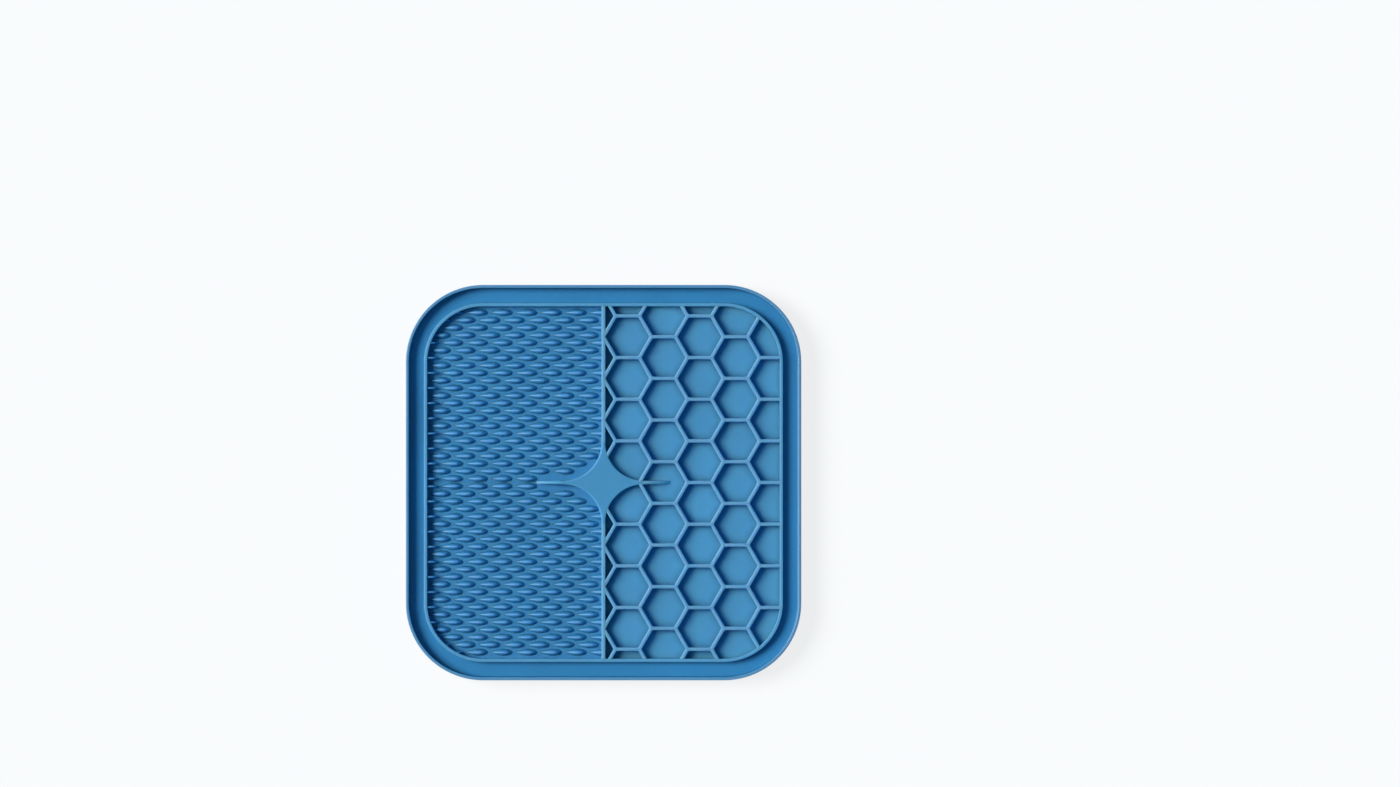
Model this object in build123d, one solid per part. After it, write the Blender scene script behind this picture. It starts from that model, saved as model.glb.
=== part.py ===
"""Square silicone lick mat: nub fields, honeycomb cells, a centre star and suction cups underneath.

Millimetres, +Z up. The origin is in the middle of the mat, on the surface that the suction cups stand on.
"""

import os
from math import ceil, hypot, radians, sqrt, tan

from build123d import *

# Outline and sheet
mat_side = 200.0
corner_radius = 39.0
sheet_thickness = 2.0
sheet_edge_radius = 0.6
cup_standoff = 3.5

# Rim wall, gutter and inner ridge, from the outside inwards
rim_thickness = 1.8
rim_height = 5.5
gutter_width = 7.4
gutter_floor_thickness = 0.8
ridge_thickness = 1.8
ridge_height = 4.6
top_edge_radius = 0.45

# Divider, star and the two ribs that fall away from the star
divider_thickness = 2.0
star_arc_radius = 19.4
rib_reach = 34.4
rib_end_thickness = 1.7
rib_end_height = 1.4

# Honeycomb, measured flat to flat
cell_pitch = 21.06
cell_wall = 1.8
least_wall_area = 0.6

# Nubs, wedges that rise to the right, in staggered rows
nub_length = 9.6
nub_width = 2.6
nub_height = 2.4
nub_crest_share = 0.7
nub_top_share = 0.25
nub_column_pitch = 12.5
nub_row_pitch = 3.82
nub_backing = 0.5
nub_star_gap = 0.12
least_nub_share = 0.3

# Suction cups, in a square grid under the sheet
cup_rows = 4
cup_pitch = 46.0
lip_radius = 13.0
lip_width = 2.2
lip_thickness = 0.8
skirt_wall = 1.2
skirt_inset = 0.5
skirt_bulge = 0.5
neck_radius = 7.0

# Levels and faces that follow from the sizes above
sheet_top = cup_standoff + sheet_thickness
nub_floor = sheet_top + nub_backing
ridge_inset = rim_thickness + gutter_width
field_inset = ridge_inset + ridge_thickness
field_half = mat_side / 2 - field_inset
divider_half = divider_thickness / 2
star_tip = star_arc_radius + divider_half
cell_radius = cell_pitch / sqrt(3)


def outline(inset):
    """Face of the mat's outline, moved inwards by inset."""
    side = mat_side - 2 * inset
    return RectangleRounded(side, side, corner_radius - inset)


def upright(face, bottom, height):
    """Solid of a face in the ground plane, raised to bottom and drawn up by height."""
    return extrude(Pos(0, 0, bottom) * face, amount=height, dir=(0, 0, 1))


def top_edges(solid):
    """Edges of a solid's highest flat face."""
    return solid.faces().sort_by(Axis.Z)[-1].edges()


def ring(inset, thickness):
    """Face between the outline moved inwards by inset and the same moved on by thickness."""
    return outline(inset) - outline(inset + thickness)


def make_base_sheet():
    sheet = upright(outline(0), cup_standoff, sheet_thickness)
    lower_edges = sheet.faces().sort_by(Axis.Z)[0].edges()
    return fillet(lower_edges, sheet_edge_radius)


def make_rim_wall():
    wall = upright(ring(0, rim_thickness), sheet_top, rim_height)
    return fillet(top_edges(wall), top_edge_radius)


def make_gutter_floor():
    return upright(ring(rim_thickness, gutter_width), sheet_top, gutter_floor_thickness)


def make_inner_ridge():
    wall = upright(ring(ridge_inset, ridge_thickness), sheet_top, ridge_height)
    return fillet(top_edges(wall), top_edge_radius)


def make_divider(side):
    """Half of the divider, from the star's tip to the ridge. side is 1 above the star and -1 below."""
    length = field_half - star_tip
    middle = side * (star_tip + length / 2)
    bar = upright(Pos(0, middle) * Rectangle(divider_thickness, length), sheet_top, ridge_height)
    return fillet(top_edges(bar).filter_by(Axis.Y), top_edge_radius)


def star_face():
    """Four hollow arcs, joined by short tips as wide as the divider."""
    quarter = [(star_tip, divider_half), (divider_half, star_tip)]
    bow = star_tip - star_arc_radius / sqrt(2)
    edges = []
    for turn in range(4):
        spin = Rot(0, 0, 90 * turn)
        edges.append(spin * ThreePointArc(quarter[0], (bow, bow), quarter[1]))
        edges.append(spin * Line(quarter[1], (-divider_half, star_tip)))
    return make_face(edges)


def make_star():
    star = upright(star_face(), sheet_top, ridge_height)
    arcs = top_edges(star).filter_by(GeomType.CIRCLE)
    return fillet(arcs, top_edge_radius)


def rib_face(side):
    """Footprint of a star rib. side is 1 right of the star and -1 left of it."""
    near, far = side * star_tip, side * rib_reach
    half, end_half = divider_half, rib_end_thickness / 2
    return make_face(Polyline((near, -half), (far, -end_half), (far, end_half), (near, half), close=True))


def make_rib(side):
    """Rib that thins and falls away from the star's tip."""
    rib = upright(rib_face(side), sheet_top, ridge_height)
    near, far = side * star_tip, side * rib_reach
    low = sheet_top + rib_end_height
    high = sheet_top + ridge_height
    spare = Polyline((near, 0, high), (far, 0, low), (far, 0, high), close=True)
    return rib - extrude(make_face(spare), amount=divider_thickness, both=True)


def half_field(side):
    """Face of the field inside the ridge, right (1) or left (-1) of the divider, less the star and its rib."""
    width = field_half - divider_half
    half = Pos(side * (divider_half + width / 2), 0) * Rectangle(width, 2 * field_half)
    return (outline(field_inset) & half) - star_face() - rib_face(side)


def wall_face(start, end):
    """Footprint of one honeycomb wall, mitred at both ends to meet two more walls at 120 degrees."""
    length = hypot(end[0] - start[0], end[1] - start[1])
    along = Vector(end[0] - start[0], end[1] - start[1]) / length
    across = Vector(-along.Y, along.X) * cell_wall / 2
    mitre = along * cell_wall / 2 / tan(radians(60))
    first, last = Vector(*start), Vector(*end)
    corners = [
        first,
        first + mitre - across,
        last - mitre - across,
        last,
        last - mitre + across,
        first + mitre + across,
    ]
    return make_face(Polyline(*corners, close=True))


def cell_walls(x, y):
    """End points of the three walls on the upper side of the cell at x, y."""
    left, right = (x - cell_radius, y), (x + cell_radius, y)
    top_left = (x - cell_radius / 2, y + cell_pitch / 2)
    top_right = (x + cell_radius / 2, y + cell_pitch / 2)
    return [(left, top_left), (top_left, top_right), (top_right, right)]


def make_honeycomb():
    """Walls between the cells right of the divider. The first column's corners lie on the divider."""
    field = half_field(1)
    columns = ceil(field_half / (1.5 * cell_radius))
    rows = ceil(field_half / cell_pitch) + 1
    walls = []
    for column in range(columns):
        x = cell_radius * (1 + 1.5 * column)
        stagger = 0.5 if column % 2 == 0 else 0.0
        for row in range(-rows, rows):
            for start, end in cell_walls(x, (row + stagger) * cell_pitch):
                walls += trimmed(wall_face(start, end), field)
    return Compound(children=[upright(wall, sheet_top, ridge_height) for wall in walls])


def trimmed(face, field):
    """Pieces of a face inside a field, without the slivers."""
    inside = face & field
    return [piece for piece in inside.faces() if piece.area > least_wall_area] if inside else []


def nub_face(share):
    """Kite at a share of a nub's full size, with the widest place at the origin."""
    left = nub_length * nub_crest_share * share
    right = nub_length * (1 - nub_crest_share) * share
    half = nub_width / 2 * share
    return make_face(Polyline((-left, 0), (0, -half), (right, 0), (0, half), close=True))


def make_nub():
    """One nub on the ground plane, along X: a wedge that rises to a small flat top near its right end."""
    crest = nub_length * (nub_crest_share - 0.5)
    wedge = loft([nub_face(1), Pos(0, 0, nub_height) * nub_face(nub_top_share)], ruled=True)
    return Pos(crest, 0, 0) * wedge


def nub_places():
    """Middles of the nubs in the upper left field, row by row from the middle of the mat."""
    places = []
    rows = int((field_half - nub_width / 2) / nub_row_pitch + 0.5)
    columns = ceil(field_half / nub_column_pitch) + 1
    for row in range(rows):
        y = (row + 0.5) * nub_row_pitch
        stagger = 0.5 if row % 2 else 0.0
        for column in range(columns):
            x = (column + stagger) * nub_column_pitch - field_half
            beside_rib = row == 0 and x > -rib_reach
            clear_of_arc = star_arc_radius - hypot(x + star_tip, y - star_tip)
            in_star = x > -star_tip and y < star_tip and clear_of_arc < nub_star_gap
            if x < 0 and not beside_rib and not in_star:
                places.append((x, y))
    return places


def make_nub_panel():
    """Nubs of the upper left field, fused to their floor. Those at its edges are cut off there."""
    quarter = Pos(-field_half / 2, field_half / 2) * Rectangle(field_half, field_half)
    field = half_field(-1) & quarter
    nub = make_nub()
    reach = nub_length / 2
    corner = corner_radius - field_inset
    nubs, edge_nubs = [], []
    for x, y in nub_places():
        near_wall = -x + reach > field_half or x + reach > -divider_half
        near_corner = -x + reach > field_half - corner and y > field_half - corner
        near_star = hypot(x, y) < star_tip + reach
        group = edge_nubs if near_wall or near_corner or near_star else nubs
        group.append(Pos(x, y, nub_floor) * nub)
    cut_nubs = Part(children=edge_nubs) & upright(field, nub_floor, nub_height)
    nubs += [piece for piece in cut_nubs.solids() if piece.volume > nub.volume * least_nub_share]
    return upright(field, sheet_top, nub_backing).fuse(*nubs, glue=True)


def make_cup_lip(x, y):
    """Flat sealing ring of one suction cup."""
    seal = Circle(lip_radius) - Circle(lip_radius - lip_width)
    return upright(Pos(x, y) * seal, 0, lip_thickness)


def make_cup_skirt(x, y):
    """Bell-shaped wall of one suction cup, from its lip up to the sheet."""
    foot = lip_radius - skirt_inset
    middle = (foot + neck_radius) / 2 + skirt_bulge
    half_way = (lip_thickness + cup_standoff) / 2 + skirt_bulge
    outside = ThreePointArc((foot, 0, lip_thickness), (middle, 0, half_way), (neck_radius, 0, cup_standoff))
    inside = Pos(-skirt_wall, 0, 0) * outside
    ends = [Line(outside @ 0, inside @ 0), Line(outside @ 1, inside @ 1)]
    profile = make_face([outside, inside] + ends)
    return Pos(x, y, 0) * revolve(profile, Axis.Z)


def cup_places():
    """Middles of the suction cups, row by row from the lower left."""
    steps = [cup_pitch * (step - (cup_rows - 1) / 2) for step in range(cup_rows)]
    return [(x, y) for y in steps for x in steps]


def make_parts():
    nub_panel = make_nub_panel()
    parts = {
        "base_sheet": make_base_sheet(),
        "rim_wall": make_rim_wall(),
        "gutter_floor": make_gutter_floor(),
        "inner_ridge": make_inner_ridge(),
        "divider_upper": make_divider(1),
        "divider_lower": make_divider(-1),
        "centre_star": make_star(),
        "star_rib_left": make_rib(-1),
        "star_rib_right": make_rib(1),
        "honeycomb_walls": make_honeycomb(),
        "nub_panel_upper": nub_panel,
        "nub_panel_lower": mirror(nub_panel, about=Plane.XZ),
    }
    for number, (x, y) in enumerate(cup_places(), start=1):
        parts[f"cup_skirt_{number:02d}"] = make_cup_skirt(x, y)
        parts[f"cup_lip_{number:02d}"] = make_cup_lip(x, y)
    return parts


os.makedirs("parts", exist_ok=True)
for name, part in make_parts().items():
    export_step(part, f"parts/{name}.step")
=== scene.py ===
import math

import bmesh
import bpy
import numpy as np
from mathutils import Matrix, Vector


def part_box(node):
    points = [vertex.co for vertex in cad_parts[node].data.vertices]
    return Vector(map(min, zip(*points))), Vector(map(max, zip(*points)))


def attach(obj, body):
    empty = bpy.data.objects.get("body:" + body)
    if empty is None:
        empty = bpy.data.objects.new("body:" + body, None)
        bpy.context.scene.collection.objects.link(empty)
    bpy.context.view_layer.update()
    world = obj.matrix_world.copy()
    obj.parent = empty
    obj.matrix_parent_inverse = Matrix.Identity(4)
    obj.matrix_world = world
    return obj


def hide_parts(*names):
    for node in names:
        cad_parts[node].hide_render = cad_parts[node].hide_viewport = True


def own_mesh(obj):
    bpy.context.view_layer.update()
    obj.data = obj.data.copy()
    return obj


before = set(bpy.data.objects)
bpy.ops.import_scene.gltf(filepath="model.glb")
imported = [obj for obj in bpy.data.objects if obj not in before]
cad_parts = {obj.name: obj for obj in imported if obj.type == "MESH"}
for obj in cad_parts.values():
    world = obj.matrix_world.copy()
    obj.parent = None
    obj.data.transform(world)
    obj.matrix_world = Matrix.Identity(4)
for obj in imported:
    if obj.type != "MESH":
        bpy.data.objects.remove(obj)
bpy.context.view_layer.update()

MM = 0.001
scene = bpy.context.scene

# Sizes in millimetres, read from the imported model
_, sheet_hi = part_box("base_sheet")
HALF = sheet_hi.x / MM
SHEET_TOP = sheet_hi.z / MM
RIM_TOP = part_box("rim_wall")[1].z / MM
GUTTER_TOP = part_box("gutter_floor")[1].z / MM
RIM_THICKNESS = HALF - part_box("gutter_floor")[1].x / MM
RIDGE_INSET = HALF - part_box("inner_ridge")[1].x / MM
RIDGE_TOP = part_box("inner_ridge")[1].z / MM
FIELD_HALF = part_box("divider_upper")[1].y / MM
DIVIDER_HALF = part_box("divider_upper")[1].x / MM
STAR_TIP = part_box("centre_star")[1].x / MM
RIB_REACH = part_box("star_rib_right")[1].x / MM

RIDGE_THICKNESS = HALF - FIELD_HALF - RIDGE_INSET
RIDGE_MIDDLE = RIDGE_INSET + RIDGE_THICKNESS / 2
STAR_RADIUS = STAR_TIP - DIVIDER_HALF
CORNER = 39.0
CORNER_STEPS = 22

# Honeycomb and nubs reach to the ridge's middle line, so that they end inside the ridge
FIELD_LIMIT = HALF - RIDGE_MIDDLE
FIELD_CORNER = CORNER - RIDGE_MIDDLE

# Feet reach a little into what they stand on
FOOT = SHEET_TOP - 0.05
GUTTER_FOOT = GUTTER_TOP - 0.01


# Mesh helpers

MERGE = 1e-6
SLIVER = 1e-7
CROWN_STEPS = 8
FILLET_STEPS = 4
FILLET = 0.3
DRAFT = 0.03
# Painted highlight on wall crowns: full on top, fading out below the crown
HIGHLIGHT_DEPTH = 0.6
HIGHLIGHT_FADE = 0.4


def clamp(value):
    return min(1.0, max(0.0, value))


def add_piece(name, points, faces, material, sharp=38.0, highlight=None, painted_shade=None, deep=None):
    """One mesh piece in metres. Each point can carry a painted highlight, painted shade or deep
    translucency, from 0 to 1.
    """
    mesh = bpy.data.meshes.new(name)
    mesh.from_pydata([(x * MM, y * MM, z * MM) for x, y, z in points], [], faces)
    for attribute, values in (("highlight", highlight), ("painted_shade", painted_shade), ("deep", deep)):
        layer = mesh.attributes.new(attribute, "FLOAT", "POINT")
        layer.data.foreach_set("value", values or [0.0] * len(points))
    work = bmesh.new()
    work.from_mesh(mesh)
    bmesh.ops.remove_doubles(work, verts=work.verts, dist=MERGE)
    bmesh.ops.dissolve_degenerate(work, edges=work.edges, dist=SLIVER)
    bmesh.ops.recalc_face_normals(work, faces=work.faces)
    work.to_mesh(mesh)
    work.free()
    mesh.shade_smooth()
    mesh.set_sharp_from_angle(angle=math.radians(sharp))
    piece = bpy.data.objects.new(name, mesh)
    scene.collection.objects.link(piece)
    mesh.materials.append(material)
    return piece


def skin(loops, closed_profile=False):
    """Points and faces of a surface through loops with equal numbers of points."""
    count = len(loops[0])
    points = [p for loop in loops for p in loop]
    faces = []
    rows = len(loops) if closed_profile else len(loops) - 1
    for row in range(rows):
        a, b = row * count, (row + 1) % len(loops) * count
        for i in range(count):
            j = (i + 1) % count
            faces.append((a + i, a + j, b + j, b + i))
    return points, faces


def moved_on(faces, start):
    """Faces whose points begin at start in a longer list of points."""
    return [tuple(i + start for i in face) for face in faces]


def end_faces(points, count):
    """Faces that close a surface at its first and last loop of count points."""
    return [tuple(range(count)), tuple(range(len(points) - count, len(points)))]


def square_loop(inset, z):
    """Rounded square, inset from the mat's outline."""
    half, radius = HALF - inset, CORNER - inset
    points = []
    for corner, (sx, sy) in enumerate(((1, 1), (-1, 1), (-1, -1), (1, -1))):
        for step in range(CORNER_STEPS + 1):
            angle = math.radians(90 * corner + 90 * step / CORNER_STEPS)
            points.append((
                sx * (half - radius) + radius * math.cos(angle),
                sy * (half - radius) + radius * math.sin(angle),
                z,
            ))
    return points


def wall_profile(half, top, floor, crown, fillet=FILLET, draft=DRAFT):
    """Points out and down from a wall's middle line: round crown, slight draft, hollow foot."""
    points = [(0.0, top)]
    for step in range(CROWN_STEPS + 1):
        angle = math.radians(90 * step / CROWN_STEPS)
        points.append((half - crown + crown * math.sin(angle), top - crown * (1 - math.cos(angle))))
    points.append((half + draft / 2, (top + floor) / 2))
    for step in range(FILLET_STEPS + 1):
        angle = math.radians(90 * step / FILLET_STEPS)
        points.append((
            half + draft + fillet * (1 - math.cos(angle)),
            floor + fillet * (1 - math.sin(angle)),
        ))
    return points


def crown_highlight(points, top):
    """Painted highlight of a wall's points: full on the crown, none a little below it."""
    return [clamp((z - top + HIGHLIGHT_DEPTH) / HIGHLIGHT_FADE) for _, _, z in points]


# Silicone

# One blue silicone in several copies: the darker smooth and nub blues carry painted shade of the gutter,
# rim, sheet and nub field, and the paler honey blue carries painted light in the cells
SHADED_SMOOTH_BLUE = (0.032, 0.23, 0.45)
SHADED_NUB_BLUE = (0.043, 0.25, 0.5)
MATT_BLUE = (0.058, 0.296, 0.5)
LIT_HONEY_BLUE = (0.065, 0.308, 0.518)
CUP_BLUE = tuple(c * 0.94 for c in SHADED_SMOOTH_BLUE)
# Tints added where a highlight is painted, and the factor that darkens where shade is painted
HIGHLIGHT_TINT = (0.085, 0.065, 0.015)
HONEY_HIGHLIGHT_TINT = (0.085, 0.05, 0.0)
SHADE_TINT = (0.4, 0.64, 0.68)

CLOUD_SCALE, CLOUD_DETAIL = 28.0, 4.0
CLOUD_DARK, CLOUD_LIGHT = 0.94, 1.06
PATCH_SCALE, PATCH_DETAIL = 90.0, 3.0
PATCH_LEAST = 0.75
NOISE_LOW, NOISE_HIGH = 0.3, 0.7
GRAIN_SCALE, GRAIN_DETAIL = 1500.0, 2.0
GRAIN_HEIGHT = 0.0001
SCATTER = (0.3, 0.7, 1.0)
SILICONE_IOR = 1.43


def noise(nodes, links, place, scale, detail):
    node = nodes.new("ShaderNodeTexNoise")
    node.inputs["Scale"].default_value = scale
    node.inputs["Detail"].default_value = detail
    links.new(place.outputs["Object"], node.inputs["Vector"])
    return node.outputs["Fac"]


def point_value(nodes, name):
    """Value that each point of a mesh keeps under a name."""
    node = nodes.new("ShaderNodeAttribute")
    node.attribute_name = name
    return node.outputs["Fac"]


def mapped(nodes, links, value, to_min, to_max, from_min=0.0, from_max=1.0):
    node = nodes.new("ShaderNodeMapRange")
    node.inputs["From Min"].default_value = from_min
    node.inputs["From Max"].default_value = from_max
    node.inputs["To Min"].default_value = to_min
    node.inputs["To Max"].default_value = to_max
    links.new(value, node.inputs["Value"])
    return node.outputs["Result"]


def tinted(nodes, links, factor, base, colour):
    """Colour that goes from base to a fixed one as factor goes from 0 to 1."""
    node = nodes.new("ShaderNodeMix")
    node.data_type = "RGBA"
    node.inputs["B"].default_value = (*colour, 1)
    links.new(factor, node.inputs["Factor"])
    links.new(base, node.inputs["A"])
    return node.outputs["Result"]


def silicone(name, colour, rough, grain_depth, gloss, soft, soft_reach, highlight_tint=HIGHLIGHT_TINT, deep_reach=None):
    """Matt translucent rubber. Light spreads over soft_reach metres, and over deep_reach at deep points."""
    material = bpy.data.materials.new(name)
    material.use_nodes = True
    nodes, links = material.node_tree.nodes, material.node_tree.links
    nodes.clear()
    out = nodes.new("ShaderNodeOutputMaterial")
    shader = nodes.new("ShaderNodeBsdfPrincipled")
    links.new(shader.outputs["BSDF"], out.inputs["Surface"])
    place = nodes.new("ShaderNodeTexCoord")

    # Colour: slightly cloudy, paler where a highlight is painted, darker where shade is painted
    ramp = nodes.new("ShaderNodeValToRGB")
    dark, light = ramp.color_ramp.elements
    dark.position = NOISE_LOW
    dark.color = (*(c * CLOUD_DARK for c in colour), 1)
    light.position = NOISE_HIGH
    light.color = (*(min(1.0, c * CLOUD_LIGHT) for c in colour), 1)
    links.new(noise(nodes, links, place, CLOUD_SCALE, CLOUD_DETAIL), ramp.inputs["Fac"])
    patches = noise(nodes, links, place, PATCH_SCALE, PATCH_DETAIL)
    highlight_amount = nodes.new("ShaderNodeMath")
    highlight_amount.operation = "MULTIPLY"
    links.new(point_value(nodes, "highlight"), highlight_amount.inputs[0])
    links.new(mapped(nodes, links, patches, PATCH_LEAST, 1.0, NOISE_LOW, NOISE_HIGH), highlight_amount.inputs[1])
    highlight_colour = [c + d for c, d in zip(colour, highlight_tint)]
    pale = tinted(nodes, links, highlight_amount.outputs["Value"], ramp.outputs["Color"], highlight_colour)
    # Painted shade darkens the colour towards a fixed darker blue
    shade_colour = [c * d for c, d in zip(colour, SHADE_TINT)]
    with_shade = tinted(nodes, links, point_value(nodes, "painted_shade"), pale, shade_colour)
    links.new(with_shade, shader.inputs["Base Color"])

    # Surface: fine grain
    grain = noise(nodes, links, place, GRAIN_SCALE, GRAIN_DETAIL)
    roughness = mapped(nodes, links, grain, rough - grain_depth / 2, rough + grain_depth / 2)
    links.new(roughness, shader.inputs["Roughness"])
    bump = nodes.new("ShaderNodeBump")
    bump.inputs["Strength"].default_value = grain_depth
    bump.inputs["Distance"].default_value = GRAIN_HEIGHT
    links.new(grain, bump.inputs["Height"])
    links.new(bump.outputs["Normal"], shader.inputs["Normal"])
    shader.inputs["Specular IOR Level"].default_value = gloss
    shader.inputs["IOR"].default_value = SILICONE_IOR

    # Depth: light that enters comes out again nearby
    shader.inputs["Subsurface Weight"].default_value = soft
    shader.inputs["Subsurface Radius"].default_value = SCATTER
    shader.inputs["Subsurface Scale"].default_value = soft_reach
    if deep_reach:
        reach = mapped(nodes, links, point_value(nodes, "deep"), soft_reach, deep_reach)
        links.new(reach, shader.inputs["Subsurface Scale"])
    return material


matt_silicone = silicone(
    "matt_silicone", MATT_BLUE, rough=0.55, grain_depth=0.12, gloss=0.75, soft=0.7, soft_reach=0.003,
)
honey_silicone = silicone(
    "honey_silicone", LIT_HONEY_BLUE, rough=0.55, grain_depth=0.12, gloss=0.75, soft=1.0, soft_reach=0.003,
    highlight_tint=HONEY_HIGHLIGHT_TINT, deep_reach=0.014,
)
smooth_silicone = silicone(
    "smooth_silicone", SHADED_SMOOTH_BLUE, rough=0.36, grain_depth=0.08, gloss=0.75, soft=0.4, soft_reach=0.0012,
)
nub_silicone = silicone(
    "nub_silicone", SHADED_NUB_BLUE, rough=0.5, grain_depth=0.05, gloss=0.5, soft=0.9, soft_reach=0.0024,
)
cup_silicone = silicone(
    "cup_silicone", CUP_BLUE, rough=0.38, grain_depth=0.08, gloss=0.75, soft=0.4, soft_reach=0.0012,
)


def on_mat(piece, *nodes):
    """Ties a piece to the mat's body and to the CAD nodes that it stands for."""
    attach(piece, "mat")
    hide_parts(*nodes)


# Rim wall and inner ridge, swept round the rounded square

RIM_CROWN = 0.4
RIM_DRAFT = 0.12
RIDGE_CROWN = 0.3
RIDGE_THINNER = 0.08
# Painted shade low on the walls, fading out above the gutter floor
SHADE_HEIGHT = 1.5
SHADE_FADE = 1.2


def ring_piece(name, middle, left, right, material, node, highlight_amount):
    """left and right are wall profiles outwards and inwards of the middle line."""
    line = [(middle - d, z) for d, z in reversed(left)] + [(middle + d, z) for d, z in right[1:]]
    line += [(line[-1][0], FOOT), (line[0][0], FOOT)]
    loops = [square_loop(inset, z) for inset, z in line]
    points, faces = skin(loops, closed_profile=True)
    # Painted highlight on the crown, and painted shade low down by the gutter floor
    highlight = [highlight_amount * w for w in crown_highlight(points, left[0][1])]
    painted_shade = [clamp((GUTTER_TOP + SHADE_HEIGHT - z) / SHADE_FADE) for _, _, z in points]
    on_mat(add_piece(name, points, faces, material, highlight=highlight, painted_shade=painted_shade), node)


rim_middle = RIM_THICKNESS / 2
rim_half = rim_middle - RIM_DRAFT
rim_out = wall_profile(rim_half, RIM_TOP, SHEET_TOP, RIM_CROWN, fillet=0.0, draft=RIM_DRAFT)
rim_in = wall_profile(rim_half, RIM_TOP, GUTTER_FOOT, RIM_CROWN)
ring_piece("outer_rim", rim_middle, rim_out, rim_in, smooth_silicone, "rim_wall", highlight_amount=1.0)

ridge_half = RIDGE_THICKNESS / 2 - RIDGE_THINNER
ridge_out = wall_profile(ridge_half, RIDGE_TOP, GUTTER_FOOT, RIDGE_CROWN)
ridge_in = wall_profile(ridge_half, RIDGE_TOP, SHEET_TOP, RIDGE_CROWN)
ring_piece("inner_ridge_wall", RIDGE_MIDDLE, ridge_out, ridge_in, matt_silicone, "inner_ridge", highlight_amount=0.4)


# Divider, star and star ribs

divider_line = wall_profile(DIVIDER_HALF, RIDGE_TOP, SHEET_TOP, crown=0.45)
star_line = wall_profile(DIVIDER_HALF, RIDGE_TOP, SHEET_TOP, crown=0.65)
rib_line = wall_profile(DIVIDER_HALF, RIDGE_TOP, SHEET_TOP, crown=0.8)


def bar_piece(name, sections, node, highlight_amount=1.0, fading=0.0):
    """Bar through cross-sections of equal numbers of points, closed at both ends. Its painted highlight can
    fade.
    """
    points, faces = skin(sections)
    highlight = []
    for i, section in enumerate(sections):
        fade = highlight_amount * max(0.0, 1 - fading * i / len(sections))
        highlight += [fade * w for w in crown_highlight(section, max(z for _, _, z in section))]
    faces += end_faces(points, len(sections[0]))
    on_mat(add_piece(name, points, faces, matt_silicone, highlight=highlight), node)


def bar_section(line):
    """Cross-section across the bar: (offset, height), down to the underside."""
    left = [(-d, z) for d, z in reversed(line[1:])]
    return [(left[0][0], FOOT)] + left + line + [(line[-1][0], FOOT)]


for name, side, node in (
    ("divider_bar_upper", 1, "divider_upper"),
    ("divider_bar_lower", -1, "divider_lower"),
):
    sections = []
    for y in (STAR_TIP, FIELD_LIMIT):
        sections.append([(d, side * y, z) for d, z in bar_section(divider_line)])
    bar_piece(name, sections, node)

STAR_STEPS = 40
STAR_RINGS = (0.01, 0.4, 0.8, 0.95)
# Painted highlight on the star's edge and on its sides near the top
STAR_EDGE_HIGHLIGHT = 0.15
STAR_SIDE_HIGHLIGHT = 0.25
STAR_HIGHLIGHT_DEPTH = 1.0


def star_loop(out, z):
    """Star outline moved outwards by out: four hollow arcs that meet the divider and the ribs."""
    radius = STAR_RADIUS - out
    points = []
    for quarter in range(4):
        turn = math.radians(90 * quarter)
        for step in range(STAR_STEPS + 1):
            angle = math.radians(270 - 90 * step / STAR_STEPS)
            x, y = STAR_TIP + radius * math.cos(angle), STAR_TIP + radius * math.sin(angle)
            points.append((
                x * math.cos(turn) - y * math.sin(turn),
                x * math.sin(turn) + y * math.cos(turn),
                z,
            ))
    return points


star_levels = [(d - DIVIDER_HALF, z) for d, z in star_line[1:]]
star_levels.append((star_levels[-1][0], FOOT))
star_edge = star_loop(*star_levels[0])
star_loops = [[(x * share, y * share, z) for x, y, z in star_edge] for share in STAR_RINGS]
star_loops += [star_loop(out, z) for out, z in star_levels]
star_points, star_faces = skin(star_loops)
star_count = len(star_edge)
star_faces += end_faces(star_points, star_count)
star_highlight = [0.0] * len(STAR_RINGS) * star_count + [STAR_EDGE_HIGHLIGHT] * star_count
for _, z in star_levels[1:]:
    star_highlight += [STAR_SIDE_HIGHLIGHT * clamp((z - RIDGE_TOP + STAR_HIGHLIGHT_DEPTH) / HIGHLIGHT_FADE)] * star_count
on_mat(add_piece("star", star_points, star_faces, matt_silicone, highlight=star_highlight), "centre_star")

RIB_STEPS = 18
RIB_FALL, RIB_FALL_CURVE = 0.72, 1.5
RIB_END_CURVE, RIB_END_ROUNDING = 8, 0.7
RIB_LEAST_RISE = 0.02
RIB_TAPER = 0.3
RIB_TIP_TAPER, RIB_TIP_CURVE = 0.5, 16


def rib_rise(share):
    """Share of the full height at a share of the rib's length: it falls and ends in a round nose."""
    end = (1 - share ** RIB_END_CURVE) ** RIB_END_ROUNDING
    return (1 - RIB_FALL * share ** RIB_FALL_CURVE) * end + RIB_LEAST_RISE


def rib_width(share):
    """Share of the full width at a share of the rib's length."""
    return (1 - RIB_TAPER * share) * (1 - RIB_TIP_TAPER * share ** RIB_TIP_CURVE)


# Painted highlight along each rib, fading towards its end
for name, side, node, highlight_amount in (
    ("star_rib_falling_right", 1, "star_rib_right", 1.0),
    ("star_rib_falling_left", -1, "star_rib_left", 0.5),
):
    sections = []
    for step in range(RIB_STEPS + 1):
        share = math.sin(math.pi / 2 * step / RIB_STEPS)
        x = STAR_TIP + (RIB_REACH - STAR_TIP) * share
        section = []
        for d, z in bar_section(rib_line):
            rise = max(0.0, z - SHEET_TOP)
            section.append((side * x, d * rib_width(share), min(z, SHEET_TOP) + rise * rib_rise(share)))
        sections.append(section)
    if side < 0:
        sections.reverse()
    bar_piece(name, sections, node, highlight_amount, fading=1.4)


# Honeycomb: every cell is a rounded hollow in the right half

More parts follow.
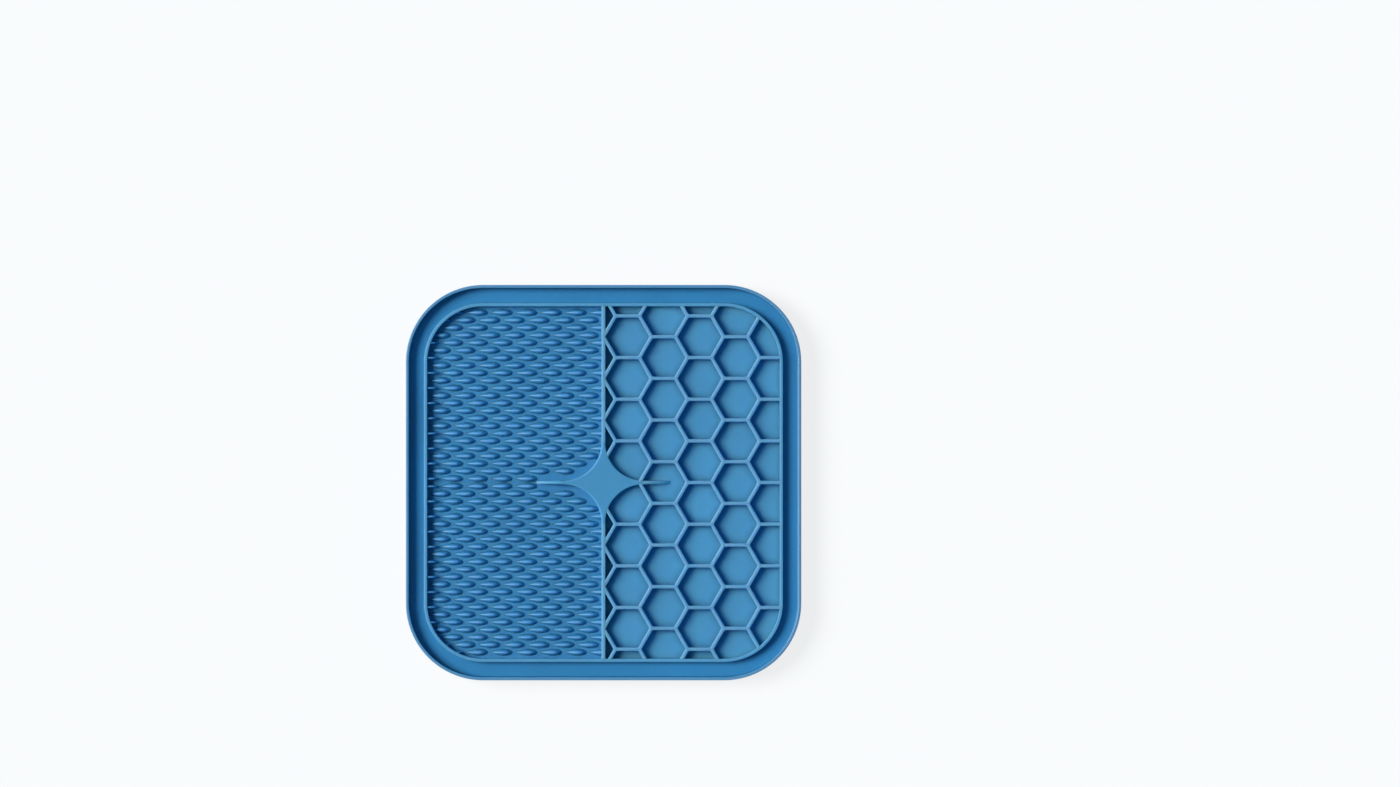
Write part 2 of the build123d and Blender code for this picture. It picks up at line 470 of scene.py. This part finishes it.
CELL_PITCH = 21.06
CELL_RADIUS = CELL_PITCH / math.sqrt(3)
COLUMN_PITCH = 1.5 * CELL_RADIUS
HONEY_TOP = RIDGE_TOP - 0.03
WALL_HALF = 0.86
WALL_CROWN = 0.4
CELL_CORNER = 0.55
CELL_FLOOR = SHEET_TOP + 0.7
CELL_ANGLES = 72
EDGE_STEPS = 20
EDGE_INSET = 0.25
FAR = 400.0
TINY = 1e-6
FIT_SHARES = (1.0, 0.6, 0.3, 0.1)
LEAST_FLOOR_AREA = 0.05
FLOOR_RINGS = (0.93, 0.84, 0.74, 0.6)

# Cells that the edges cut small get darker painted shade, and the smallest ones, the pockets, are deeper
# too
POCKET_AREA = 30.0
SMALL_AREA = 2 * POCKET_AREA
POCKET_FLOOR = SHEET_TOP + 0.05
DEEP_RISE = 0.2

# Painted shade of a cell's last loops, from the foot of its walls to the middle of its floor
CELL_SHADE = [0.3, 0.6, 0.75, 0.6, 0.36, 0.15, 0.0]
SMALL_SHADE = [0.65] * 10
POCKET_SHADE = [1.0] * 10


def cell_planes(x, y):
    """Sides of a cell as (normal angle, distance from the origin, is a honeycomb wall)."""
    planes = []
    for turn in range(6):
        angle = math.radians(30 + 60 * turn)
        planes.append((angle, x * math.cos(angle) + y * math.sin(angle) + CELL_PITCH / 2, True))
    planes.append((math.pi, 0.0, False))
    corner = FIELD_LIMIT - FIELD_CORNER
    for sy in (1, -1):
        for step in range(EDGE_STEPS + 1):
            angle = sy * math.radians(90 * step / EDGE_STEPS)
            reach = corner * (math.cos(angle) + sy * math.sin(angle)) + FIELD_CORNER
            planes.append((angle, reach, False))
    return planes


def clip(planes, depth, extra):
    """Corners of the area inside the planes, honeycomb walls moved inwards by depth and all by extra."""
    area = [(-FAR, -FAR), (FAR, -FAR), (FAR, FAR), (-FAR, FAR)]
    for angle, reach, is_wall in planes:
        nx, ny = math.cos(angle), math.sin(angle)
        limit = reach - extra - (depth if is_wall else min(depth, EDGE_INSET))
        kept = []
        for p, q in zip(area, area[1:] + area[:1]):
            dp, dq = nx * p[0] + ny * p[1] - limit, nx * q[0] + ny * q[1] - limit
            if dp <= 0:
                kept.append(p)
            if dp * dq < 0:
                t = dp / (dp - dq)
                kept.append((p[0] + t * (q[0] - p[0]), p[1] + t * (q[1] - p[1])))
        area = kept
        if not area:
            break
    return area


def polygon_area(points):
    return 0.5 * sum(p[0] * q[1] - q[0] * p[1] for p, q in zip(points, points[1:] + points[:1]))


def outline_reach(corners, round_corner, centre, angles):
    """Distances from centre to the outline of corners grown by round_corner, along each angle."""
    ux, uy = np.cos(angles), np.sin(angles)
    reach = np.zeros(len(angles))
    for p, q in zip(corners, corners[1:] + corners[:1]):
        px, py = p[0] - centre[0], p[1] - centre[1]
        ex, ey = q[0] - p[0], q[1] - p[1]
        length = math.hypot(ex, ey)
        if length > TINY:
            nx, ny = ey / length, -ex / length
            sx, sy = px + nx * round_corner, py + ny * round_corner
            with np.errstate(divide="ignore", invalid="ignore"):
                t = (nx * sx + ny * sy) / (nx * ux + ny * uy)
                along = ((t * ux - sx) * ex + (t * uy - sy) * ey) / length
            hit = (t > 0) & (along >= -TINY) & (along <= length + TINY)
            reach = np.where(hit, np.maximum(reach, np.where(hit, t, 0)), reach)
        middle = ux * px + uy * py
        inside = round_corner ** 2 - px * px - py * py + middle ** 2
        t = middle + np.sqrt(np.maximum(inside, 0))
        hit = (inside >= 0) & (t > 0)
        reach = np.where(hit, np.maximum(reach, t), reach)
    return reach


def cell_line(floor, fillet):
    """Profile from the middle of a cell's wall down to its floor."""
    return wall_profile(WALL_HALF, HONEY_TOP, floor, WALL_CROWN, fillet=fillet)


def fitted_cell(planes):
    """Fillet, corner radius and floor corners of a cell, the first two smaller where its floor is small."""
    for share in FIT_SHARES:
        fillet, corner = FILLET * share, CELL_CORNER * share
        foot, _ = cell_line(CELL_FLOOR, fillet)[-1]
        floor_corners = clip(planes, foot, corner)
        if len(floor_corners) > 2 and polygon_area(floor_corners) > LEAST_FLOOR_AREA:
            return fillet, corner, floor_corners
    return None


def cell_mesh(cell_x, cell_y):
    """Points, faces, painted shade and depth of one cell, or None where the field leaves no room for it."""
    planes = cell_planes(cell_x, cell_y)
    fit = fitted_cell(planes)
    if fit is None:
        return None
    fillet, corner, floor_corners = fit
    floor_area = polygon_area(floor_corners)
    if floor_area < POCKET_AREA:
        line, feet = cell_line(POCKET_FLOOR, fillet), POCKET_SHADE
    elif floor_area < SMALL_AREA:
        line, feet = cell_line(CELL_FLOOR, fillet), SMALL_SHADE
    else:
        line, feet = cell_line(CELL_FLOOR, fillet), CELL_SHADE

    cx, cy = (sum(axis) / len(floor_corners) for axis in zip(*floor_corners))
    angles = [2 * math.pi * step / CELL_ANGLES for step in range(CELL_ANGLES)]
    for x, y in clip(planes, 0.0, 0.0) + floor_corners:
        angles.append(math.atan2(y - cy, x - cx) % (2 * math.pi))
    angles = np.unique(np.round(angles, 5))

    loops = []
    for d, z in line:
        rounding = corner * min(1.0, d / WALL_HALF)
        reach = outline_reach(clip(planes, d, rounding), rounding, (cx, cy), angles)
        loops.append([(cx + r * math.cos(a), cy + r * math.sin(a), z) for r, a in zip(reach, angles)])
    foot = loops[-1]
    for share in FLOOR_RINGS:
        loops.append([(cx + (x - cx) * share, cy + (y - cy) * share, z) for x, y, z in foot])
    points, faces = skin(loops)
    count = len(foot)
    faces.append(tuple(range(len(points) - count, len(points))))

    shade_levels = []
    for level in [0.0] * (len(loops) - len(feet)) + feet:
        shade_levels += [level] * count
    floor_level = line[-1][1]
    deep = [1.0 if z < floor_level + DEEP_RISE else 0.0 for _, _, z in points]
    return points, faces, shade_levels, deep


honey_points, honey_faces, honey_shade, honey_deep = [], [], [], []
columns = math.ceil(FIELD_HALF / COLUMN_PITCH)
rows = math.ceil(FIELD_HALF / CELL_PITCH) + 1
for column in range(-1, columns):
    stagger = 0.5 if column % 2 == 0 else 0.0
    for row in range(-rows, rows + 1):
        cell = cell_mesh(CELL_RADIUS * (1 + 1.5 * column), (row + stagger) * CELL_PITCH)
        if cell:
            points, faces, shade_levels, deep = cell
            honey_faces += moved_on(faces, len(honey_points))
            honey_points += points
            honey_shade += shade_levels
            honey_deep += deep
# Painted highlight on the crowns of the cell walls
honey_highlight = crown_highlight(honey_points, HONEY_TOP)
honeycomb = add_piece(
    "honeycomb", honey_points, honey_faces, honey_silicone,
    highlight=honey_highlight, painted_shade=honey_shade, deep=honey_deep,
)
on_mat(honeycomb, "honeycomb_walls")


# Nub panels: grain-shaped nubs on a thin floor

NUB_FLOOR = SHEET_TOP + 0.5
NUB_FOOT = NUB_FLOOR - 0.03
NUB_COLUMN = 12.5
NUB_ROW = 3.82
NUB_EDGE_GAP = 1.1
NUB_STAR_GAP = 0.12
LEAST_NUB_LENGTH = 3.0
NUB_ALONG, NUB_ACROSS = 24, 12

# A nub reaches left and right of its place, with its crest to the right of it
NUB_LEFT = 5.6
NUB_RIGHT = 5.5
NUB_CREST = 2.2
NUB_WIDTH = 3.6
NUB_HEIGHT = 2.2
NUB_FRONT_CURVE = 0.7
NUB_BACK_CURVE, NUB_BACK_ROUNDING = 2.6, 0.55
NUB_LEAST_BREADTH = 0.06
NUB_FALL_CURVE, NUB_FALL_ROUNDING = 1.6, 1.1
NUB_SHARPNESS = 3
# Strength of the painted shade on the nubs' flanks and back
NUB_SHADE = 1.3

# Nubs that lose their left end to the ridge are slim, high fins
CUT_LENGTH = 2
CUT_HEIGHT = 1.75
CUT_WIDTH = 0.48
CUT_CREST = 0.9
CUT_START = 0.6
CUT_FALL_ROUNDING = 0.6
CUT_SHARPNESS = 1


def nub_places():
    """Places of the nubs in the upper left field, row by row from the middle of the mat."""
    places = []
    count = int((FIELD_HALF - NUB_EDGE_GAP) / NUB_ROW + 0.5)
    for row in range(count):
        y = (row + 0.5) * NUB_ROW
        stagger = 0.5 if row % 2 else 0.0
        for column in range(math.ceil(FIELD_HALF / NUB_COLUMN) + 1):
            x = (column + stagger) * NUB_COLUMN - FIELD_HALF
            beside_rib = row == 0 and x > -RIB_REACH
            clear = STAR_RADIUS - math.hypot(x + STAR_TIP, y - STAR_TIP)
            in_star = x > -STAR_TIP and y < STAR_TIP and clear < NUB_STAR_GAP
            if x < 0 and not beside_rib and not in_star:
                places.append((x, y))
    return places


def nub_half_width(way, is_cut):
    """Half width at a share of a nub's length: a long point in front and a blunt end behind."""
    if way < 0.5:
        broad = (way / 0.5) ** NUB_FRONT_CURVE
    else:
        broad = max(0.0, 1 - ((way - 0.5) / 0.5) ** NUB_BACK_CURVE) ** NUB_BACK_ROUNDING
    return NUB_WIDTH / 2 * max(NUB_LEAST_BREADTH, broad) * (CUT_WIDTH if is_cut else 1.0)


def nub_rise(place, is_cut):
    """Height over the floor at a place along a nub: it climbs to its crest and falls faster behind it."""
    height = NUB_HEIGHT * (CUT_HEIGHT if is_cut else 1.0)
    crest = NUB_CREST + (CUT_CREST if is_cut else 0.0)
    if place < crest:
        climb = (place + NUB_LEFT) / (NUB_LEFT + crest)
        if is_cut:
            climb = CUT_START + (1 - CUT_START) * climb
        return height * (0.5 * math.sin(math.pi / 2 * climb) + 0.5 * climb ** 2 * (3 - 2 * climb))
    drop = (place - crest) / (NUB_RIGHT - crest)
    rounding = CUT_FALL_ROUNDING if is_cut else NUB_FALL_ROUNDING
    return height * max(0.0, 1 - drop ** NUB_FALL_CURVE) ** rounding


def nub_mesh(x, y, first, last):
    """One nub from first to last along X, with a painted highlight on top of its front and painted shade
    beside its back.
    """
    points, faces, highlight, painted_shade = [], [], [], []
    is_cut = first > CUT_LENGTH - NUB_LEFT and last == NUB_RIGHT
    for i in range(NUB_ALONG + 1):
        place = first + (last - first) * (0.5 - 0.5 * math.cos(math.pi * i / NUB_ALONG))
        way = clamp((place + NUB_LEFT) / (NUB_LEFT + NUB_RIGHT))
        half, rise = nub_half_width(way, is_cut), nub_rise(place, is_cut)
        # The painted highlight ends between 0.6 and 0.8 of the length, and the painted shade starts at 0.2
        lit_front = clamp(4 - way * 5)
        shaded = clamp(way * 3 - 0.6)
        for j in range(NUB_ACROSS + 1):
            turn = math.pi * j / NUB_ACROSS
            up = math.sin(turn) ** (CUT_SHARPNESS if is_cut else NUB_SHARPNESS)
            points.append((x + place, y - half * math.cos(turn), NUB_FOOT + rise * up))
            highlight.append(lit_front * max(0.0, up * 4 - 3))
            painted_shade.append(min(1.0, NUB_SHADE * shaded * (1 - up)))
    width = NUB_ACROSS + 1
    for i in range(NUB_ALONG):
        for j in range(NUB_ACROSS):
            a = i * width + j
            faces.append((a, a + width, a + width + 1, a + 1))
    return points, faces, highlight, painted_shade


def panel(name, side, node):
    """Floor and nubs of the left field, above (1) or below (-1) the star's ribs."""
    straight = FIELD_LIMIT - FIELD_CORNER
    outline = [(0.0, 0.0), (0.0, FIELD_LIMIT)]
    for step in range(CORNER_STEPS + 1):
        angle = math.radians(90 + 90 * step / CORNER_STEPS)
        outline.append((
            -straight + FIELD_CORNER * math.cos(angle),
            straight + FIELD_CORNER * math.sin(angle),
        ))
    outline.append((-FIELD_LIMIT, 0.0))
    low = [(x, side * y, FOOT) for x, y in outline]
    high = [(x, side * y, NUB_FLOOR) for x, y in outline]
    points, faces = skin([low, high])
    faces += end_faces(points, len(outline))
    highlight, painted_shade = [0.0] * len(points), [0.0] * len(points)
    for x, y in nub_places():
        reach = FIELD_LIMIT
        if y > straight:
            reach = straight + math.sqrt(max(0.0, FIELD_CORNER ** 2 - (y - straight) ** 2))
        first = max(-NUB_LEFT, -reach - x)
        last = min(NUB_RIGHT, -x)
        if last - first < LEAST_NUB_LENGTH:
            continue
        nub_points, nub_faces, nub_highlight, nub_shade = nub_mesh(x, side * y, first, last)
        faces += moved_on(nub_faces, len(points))
        points += nub_points
        highlight += nub_highlight
        painted_shade += nub_shade
    on_mat(add_piece(name, points, faces, nub_silicone, sharp=60, highlight=highlight, painted_shade=painted_shade), node)


panel("nub_field_upper", 1, "nub_panel_upper")
panel("nub_field_lower", -1, "nub_panel_lower")


# Suction cups: a bell that shortens under the sheet, and a rounded sealing lip

CUP_COUNT = 16
CUP_STEPS = 48
CUP_SHARP = 50
LIP_WIDTH = 2.2
NECK_RADIUS = 7.0
SKIRT_STEPS = 8
SKIRT_BULGE = 0.55
SKIRT_WALL = 1.2


def turned(profile, x, y):
    """Surface of a closed profile of (radius, height) turned about the upright through x, y."""
    loops = []
    for radius, z in profile:
        loops.append([(
            x + radius * math.cos(2 * math.pi * step / CUP_STEPS),
            y + radius * math.sin(2 * math.pi * step / CUP_STEPS),
            z,
        ) for step in range(CUP_STEPS)])
    return skin(loops, closed_profile=True)


def lip_profile(out, thick):
    """Flat ring with rounded edges."""
    inner = out - LIP_WIDTH
    return [
        (inner, 0.12), (inner + 0.15, 0.0), (out - 0.35, 0.0), (out - 0.08, 0.1), (out, 0.28),
        (out - 0.1, 0.5), (out - 0.35, thick), (inner + 0.25, thick), (inner, thick - 0.2),
    ]


def skirt_profile(foot, base, top):
    """Bulging wall from the lip in to the neck under the sheet."""
    outside = []
    for step in range(SKIRT_STEPS + 1):
        share = step / SKIRT_STEPS
        bulge = SKIRT_BULGE * math.sin(math.pi * share)
        outside.append((
            foot + (NECK_RADIUS - foot) * share + bulge,
            base + (top - base) * share + bulge / 2,
        ))
    inside = [(r - SKIRT_WALL, z) for r, z in reversed(outside)]
    return outside + inside


for number in range(1, CUP_COUNT + 1):
    lip_lo, lip_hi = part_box(f"cup_lip_{number:02d}")
    skirt_lo, skirt_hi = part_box(f"cup_skirt_{number:02d}")
    x, y = (lip_lo.x + lip_hi.x) / 2 / MM, (lip_lo.y + lip_hi.y) / 2 / MM

    out, thick = (lip_hi.x - lip_lo.x) / 2 / MM, lip_hi.z / MM
    points, faces = turned(lip_profile(out, thick), x, y)
    lip = add_piece(f"suction_lip_{number:02d}", points, faces, cup_silicone, sharp=CUP_SHARP)
    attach(lip, "suction_cups")
    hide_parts(f"cup_lip_{number:02d}")

    foot = (skirt_hi.x - skirt_lo.x) / 2 / MM
    base, top = skirt_lo.z / MM, skirt_hi.z / MM
    points, faces = turned(skirt_profile(foot, base, top), x, y)
    skirt = add_piece(f"suction_skirt_{number:02d}", points, faces, cup_silicone, sharp=CUP_SHARP)
    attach(skirt, "mat")
    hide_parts(f"cup_skirt_{number:02d}")
    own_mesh(skirt)


# CAD nodes that stay

for node in ("base_sheet", "gutter_floor"):
    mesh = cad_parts[node].data
    mesh.materials.clear()
    mesh.materials.append(smooth_silicone)


# Floor: pale paper that is nearly white to the camera and keeps a faint shadow

FLOOR_HALF = 4
PAPER = (0.85, 0.85, 0.85)
PAPER_GLOW = 0.82

floor_mesh = bpy.data.meshes.new("floor")
floor_corners = [(x * FLOOR_HALF, y * FLOOR_HALF, 0) for x, y in ((-1, -1), (1, -1), (1, 1), (-1, 1))]
floor_mesh.from_pydata(floor_corners, [], [(0, 1, 2, 3)])
floor = bpy.data.objects.new("floor", floor_mesh)
scene.collection.objects.link(floor)
paper = bpy.data.materials.new("paper")
paper.use_nodes = True
nodes, links = paper.node_tree.nodes, paper.node_tree.links
nodes.clear()
out = nodes.new("ShaderNodeOutputMaterial")
mix = nodes.new("ShaderNodeMixShader")
matt = nodes.new("ShaderNodeBsdfDiffuse")
matt.inputs["Color"].default_value = (*PAPER, 1)
white = nodes.new("ShaderNodeEmission")
white.inputs["Color"].default_value = (1, 1, 1, 1)
white.inputs["Strength"].default_value = 1.0
ray = nodes.new("ShaderNodeLightPath")
part_white = nodes.new("ShaderNodeMath")
part_white.operation = "MULTIPLY"
part_white.inputs[1].default_value = PAPER_GLOW
links.new(ray.outputs["Is Camera Ray"], part_white.inputs[0])
links.new(part_white.outputs[0], mix.inputs["Fac"])
links.new(matt.outputs["BSDF"], mix.inputs[1])
links.new(white.outputs["Emission"], mix.inputs[2])
links.new(mix.outputs["Shader"], out.inputs["Surface"])
floor_mesh.materials.append(paper)


# Light: one broad lamp from the left and a bluish fill

KEY_STRENGTH = 3.9
KEY_SPREAD = 32
KEY_AZIMUTH, KEY_HEIGHT = 167, 40
FILL = (0.2, 0.82, 1.4)
FILL_STRENGTH = 0.2

key_data = bpy.data.lights.new("key", "SUN")
key_data.energy = KEY_STRENGTH
key_data.angle = math.radians(KEY_SPREAD)
key = bpy.data.objects.new("key", key_data)
scene.collection.objects.link(key)
azimuth, height = math.radians(KEY_AZIMUTH), math.radians(KEY_HEIGHT)
towards = Vector((
    math.cos(azimuth) * math.cos(height),
    math.sin(azimuth) * math.cos(height),
    math.sin(height),
))
key.rotation_mode = "QUATERNION"
key.rotation_quaternion = towards.to_track_quat("Z", "Y")

world = bpy.data.worlds.new("studio")
scene.world = world
world.use_nodes = True
background = world.node_tree.nodes["Background"]
background.inputs["Color"].default_value = (*FILL, 1)
background.inputs["Strength"].default_value = FILL_STRENGTH


# Camera: straight above, with the mat left of and below the middle of the picture. The picture is
# FRAME_WIDTH metres wide at FRAME_LEVEL above the floor.

FRAME_WIDTH = 0.70744
FRAME_LEVEL = 0.0105
DISTANCE = 3.0
SENSOR = 36
CAMERA_X, CAMERA_Y = 0.04876, 0.04503
CLIP_END = 20

camera_data = bpy.data.cameras.new("camera")
camera = bpy.data.objects.new("camera", camera_data)
scene.collection.objects.link(camera)
camera_data.sensor_width = SENSOR
camera_data.lens = SENSOR * DISTANCE / FRAME_WIDTH
camera_data.clip_end = CLIP_END
camera.location = (CAMERA_X, CAMERA_Y, DISTANCE + FRAME_LEVEL)
camera.rotation_euler = (0, 0, 0)
scene.camera = camera

scene.view_settings.view_transform = "Standard"
